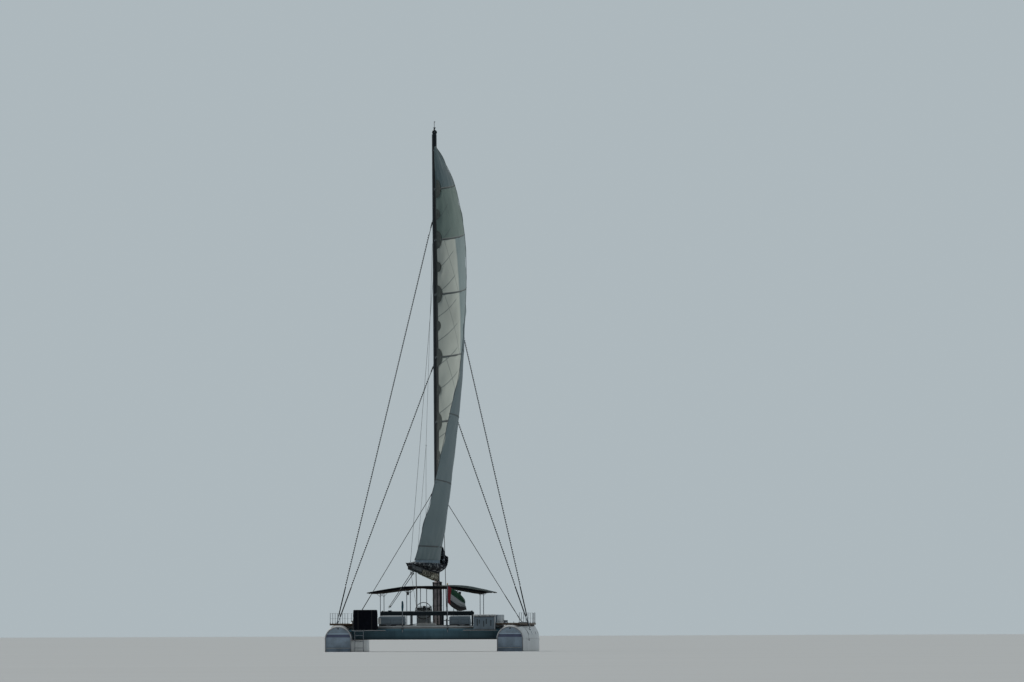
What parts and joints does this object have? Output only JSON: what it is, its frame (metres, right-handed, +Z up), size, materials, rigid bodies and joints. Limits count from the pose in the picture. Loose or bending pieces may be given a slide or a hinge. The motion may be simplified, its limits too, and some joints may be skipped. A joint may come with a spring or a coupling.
{
  "type": "sailing catamaran",
  "caption": "Sailing catamaran with twin hulls, open bridge deck, arched canopy, raked mast, battened mainsail, boom with sail bag, rudders, propellers, nets and rails.",
  "frame": {"origin": "on the waterline plane, on the centreline, midway between the transoms and the bows", "axes": "+X to starboard, +Y forward to the bows, +Z up along the height"},
  "size_m": [11.78, 22.5, 32.9047],
  "materials": {
    "gelcoat": "white hull gelcoat, weathered satin",
    "bridge_paint": "grey-teal semi-gloss paint",
    "deck_coat": "pale non-slip deck coating",
    "deck_plank": "weathered planking with a pale top",
    "antifouling": "matt dark antifouling",
    "stainless": "polished stainless tube",
    "spar_paint": "dark slate painted aluminium",
    "bronze": "cast bronze",
    "sailcloth": "cream woven sailcloth",
    "dark_canvas": "dark navy canvas",
    "canopy_canvas": "grey-green canvas",
    "mast_cover": "pinkish grey canvas cover",
    "wire": "dark stranded wire",
    "rope": "dark braided rope",
    "netting": "grey knotted netting",
    "flag_cloth": "light woven flag cloth in four bands",
    "teal_cover": "teal canvas sleeve"
  },
  "bodies": {
    "platform": {"hull_port": "gelcoat", "hull_starboard": "gelcoat", "side_deck_port": "deck_plank", "side_deck_starboard": "deck_plank", "keel_port": "antifouling", "keel_starboard": "antifouling", "saildrive_port": "antifouling", "saildrive_starboard": "antifouling", "bridge": "bridge_paint", "deck": "deck_coat", "forebeam": "spar_paint", "catwalk": "gelcoat", "net_port": "netting", "net_starboard": "netting", "aft_bench_port": "gelcoat", "aft_bench_starboard": "gelcoat", "side_bench_port": "gelcoat", "side_bench_starboard": "gelcoat", "traveller_beam": "spar_paint", "covered_box": "dark_canvas", "locker": "gelcoat", "console": "gelcoat", "canopy": "canopy_canvas", "canopy_frame_aft": "stainless", "canopy_frame_forward": "stainless", "mast": "spar_paint", "mast_casing": "mast_cover", "masthead": "spar_paint", "gooseneck": "stainless", "cap_shroud_port": "wire", "cap_shroud_starboard": "wire", "inner_shroud_port": "wire", "inner_shroud_starboard": "wire", "lower_shroud_port": "wire", "lower_shroud_starboard": "wire", "forestay": "wire", "flagstaff": "stainless", "port_staff": "teal_cover", "flag": "flag_cloth", "guard_rail_port": "stainless", "guard_rail_starboard": "stainless"},
    "boom": {"boom": "spar_paint", "mainsail_foot": "sailcloth", "mainsail_lower": "sailcloth", "mainsail_upper": "sailcloth", "mainsail_head": "sailcloth", "sail_bag": "dark_canvas", "mainsheet": "rope", "topping_lift": "rope"},
    "rudder_port": {"rudder_port": "antifouling"},
    "rudder_starboard": {"rudder_starboard": "antifouling"},
    "steering_wheel": {"steering_wheel": "stainless"},
    "propeller_port": {"propeller_port": "bronze"},
    "propeller_starboard": {"propeller_starboard": "bronze"},
    "locker_lid": {"locker_lid": "gelcoat"},
    "hatch_port": {"hatch_port": "spar_paint"},
    "hatch_starboard": {"hatch_starboard": "spar_paint"},
    "swim_ladder": {"swim_ladder": "stainless"}
  },
  "joints": [
    {"name": "boom_swing", "type": "hinge", "parent": "platform", "child": "boom", "pos_m": [0, 0.63752, 4.4], "axis": [0, -0.0523, 0.9986], "range_deg": [-41, 15.5]},
    {"name": "rudder_port_turn", "type": "hinge", "parent": "platform", "child": "rudder_port", "pos_m": [-5.03, -10.35, -0.6], "axis": [0, 0, 1], "range_deg": [-35, 35]},
    {"name": "rudder_starboard_turn", "type": "hinge", "parent": "platform", "child": "rudder_starboard", "pos_m": [5.03, -10.35, -0.6], "axis": [0, 0, 1], "range_deg": [-35, 35]},
    {"name": "wheel_turn", "type": "hinge", "parent": "platform", "child": "steering_wheel", "pos_m": [-0.5, -3.85, 2.4], "axis": [0, 1, 0], "range_deg": [-350, 350]},
    {"name": "propeller_port_spin", "type": "hinge", "parent": "platform", "child": "propeller_port", "pos_m": [-5.03, -8.64, -1.1], "axis": [0, 1, 0], "continuous": true},
    {"name": "propeller_starboard_spin", "type": "hinge", "parent": "platform", "child": "propeller_starboard", "pos_m": [5.03, -8.64, -1.1], "axis": [0, 1, 0], "continuous": true},
    {"name": "locker_lid_hinge", "type": "hinge", "parent": "platform", "child": "locker_lid", "pos_m": [3.515, -10.29, 2.0603], "axis": [-1, 0, 0], "range_deg": [0, 85]},
    {"name": "hatch_port_hinge", "type": "hinge", "parent": "platform", "child": "hatch_port", "pos_m": [-4.87, 4.58, 1.6603], "axis": [-1, 0, 0], "range_deg": [0, 90]},
    {"name": "hatch_starboard_hinge", "type": "hinge", "parent": "platform", "child": "hatch_starboard", "pos_m": [4.87, 4.58, 1.6603], "axis": [-1, 0, 0], "range_deg": [0, 90]},
    {"name": "ladder_hinge", "type": "hinge", "parent": "platform", "child": "swim_ladder", "pos_m": [-3.81, -11.045, 1.2], "axis": [-1, 0, 0], "range_deg": [0, 175]}
  ],
  "couplings": [
    {"joint": "rudder_starboard_turn", "follows": "rudder_port_turn", "ratio": 1},
    {"joint": "wheel_turn", "follows": "rudder_port_turn", "ratio": 10}
  ]
}
